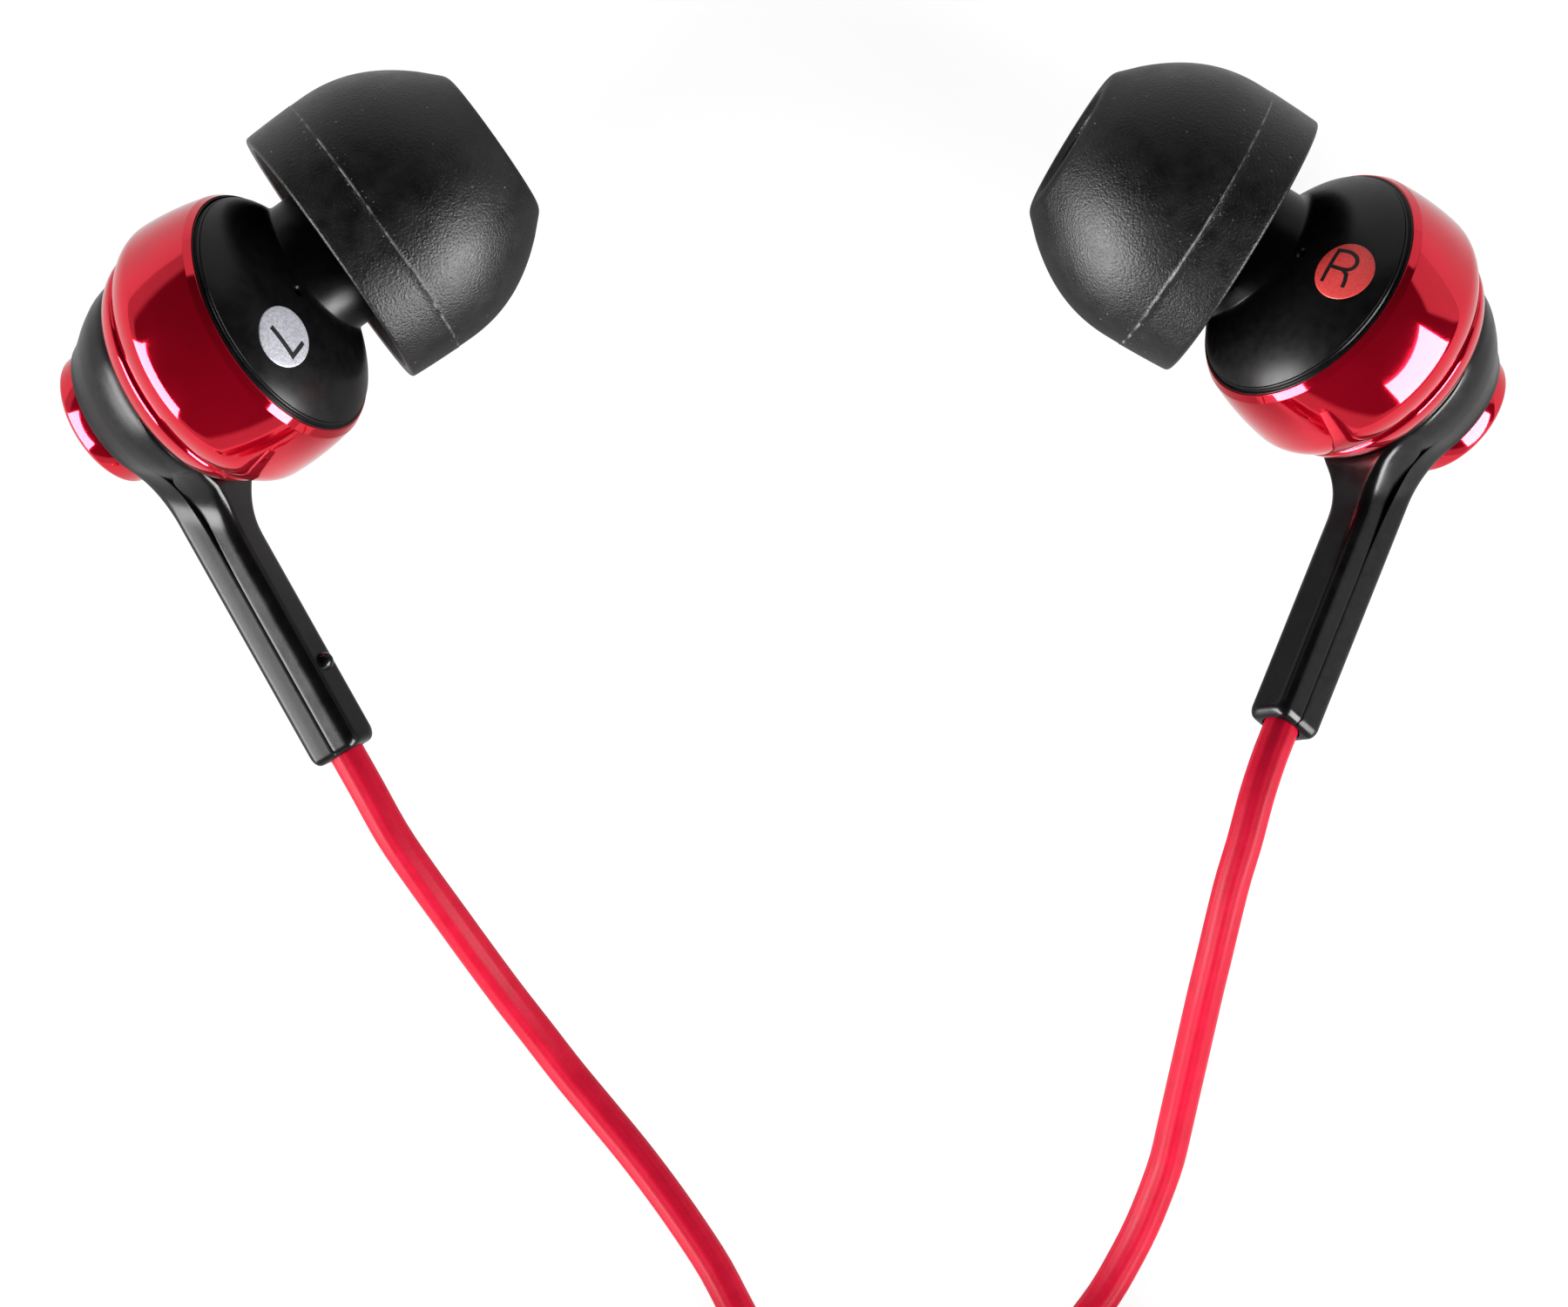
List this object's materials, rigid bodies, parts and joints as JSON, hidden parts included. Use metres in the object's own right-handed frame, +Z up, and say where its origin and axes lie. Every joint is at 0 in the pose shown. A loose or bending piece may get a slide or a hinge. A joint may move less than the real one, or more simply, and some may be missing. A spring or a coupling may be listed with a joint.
{
  "type": "wired in-ear earphones",
  "caption": "Wired in-ear earphones: angled red barrel housings with black covers, stems and silicone ear tips, on a red cord that joins at a splitter and ends in a stereo plug.",
  "frame": {"origin": "on the table under the middle of the two earpieces, measured without the cords", "axes": "+X from the left earpiece to the right one, +Y away from the cords, +Z up from the table"},
  "size_m": [0.0653, 0.1213, 0.0135],
  "materials": {
    "silicone": "satin, faint grain",
    "mesh_steel": "fine mesh",
    "satin_black": "satin",
    "stem_black": "semi-gloss",
    "marker_left": "fine metallic grain",
    "marker_right": "satin",
    "candy_red": "high gloss candy red over bright metallising",
    "steel": "satin",
    "driver_plastic": "matte",
    "film": "smooth film",
    "winding": "enamelled wire",
    "magnet": "plated",
    "damper_felt": "thin felt",
    "board": "laminate",
    "lead_insulation": "insulated wire",
    "crimp_brass": "plain",
    "cord": "satin, ribbed",
    "red_rubber": "satin",
    "gold_contact": "polished gold plating",
    "insulator": "satin"
  },
  "bodies": {
    "pair": {"left_nozzle_mesh": "mesh_steel", "left_front_cover": "satin_black", "left_side_marker": "marker_left", "left_barrel_ring": "candy_red", "left_driver_guard": "steel", "left_driver_frame": "driver_plastic", "left_top_plate": "steel", "left_magnet": "magnet", "left_yoke": "steel", "left_rear_damper": "damper_felt", "left_terminal_board": "board", "left_leads": "lead_insulation", "left_rear_housing": "satin_black", "left_stem_shell": "stem_black", "left_rear_cap": "candy_red", "left_cord_crimp": "crimp_brass", "right_nozzle_mesh": "mesh_steel", "right_front_cover": "satin_black", "right_side_marker": "marker_right", "right_barrel_ring": "candy_red", "right_driver_guard": "steel", "right_driver_frame": "driver_plastic", "right_top_plate": "steel", "right_magnet": "magnet", "right_yoke": "steel", "right_rear_damper": "damper_felt", "right_terminal_board": "board", "right_leads": "lead_insulation", "right_rear_housing": "satin_black", "right_stem_shell": "stem_black", "right_rear_cap": "candy_red", "right_cord_crimp": "crimp_brass", "left_cord": "cord", "left_cord_coil": "cord", "left_cord_tail": "cord", "right_cord": "cord", "right_cord_coil": "cord", "right_cord_tail": "cord", "main_cord": "cord", "main_cord_coil": "cord", "main_cord_tail": "cord", "y_splitter": "red_rubber", "plug_strain_relief": "red_rubber", "plug_grip": "satin_black", "plug_sleeve": "gold_contact", "plug_rear_insulator": "insulator", "plug_ring": "gold_contact", "plug_front_insulator": "insulator", "plug_tip": "gold_contact"},
    "left_tip": {"left_ear_tip": "silicone"},
    "right_tip": {"right_ear_tip": "silicone"},
    "left_cone": {"left_diaphragm": "film", "left_voice_coil": "winding"},
    "right_cone": {"right_diaphragm": "film", "right_voice_coil": "winding"}
  },
  "joints": [
    {"name": "left_tip_pull", "type": "slide", "parent": "pair", "child": "left_tip", "axis": [0.815, 0.5771, -0.0521], "range_m": [0, 0.008]},
    {"name": "right_tip_pull", "type": "slide", "parent": "pair", "child": "right_tip", "axis": [-0.853, 0.5172, 0.0695], "range_m": [0, 0.008]},
    {"name": "left_cone_stroke", "type": "slide", "parent": "pair", "child": "left_cone", "axis": [0.7663, 0.4514, 0.4571], "range_m": [-0.0002, 0.0002], "stiffness_N_per_m": 10},
    {"name": "right_cone_stroke", "type": "slide", "parent": "pair", "child": "right_cone", "axis": [-0.6365, 0.5417, 0.549], "range_m": [-0.0002, 0.0002], "stiffness_N_per_m": 10}
  ]
}
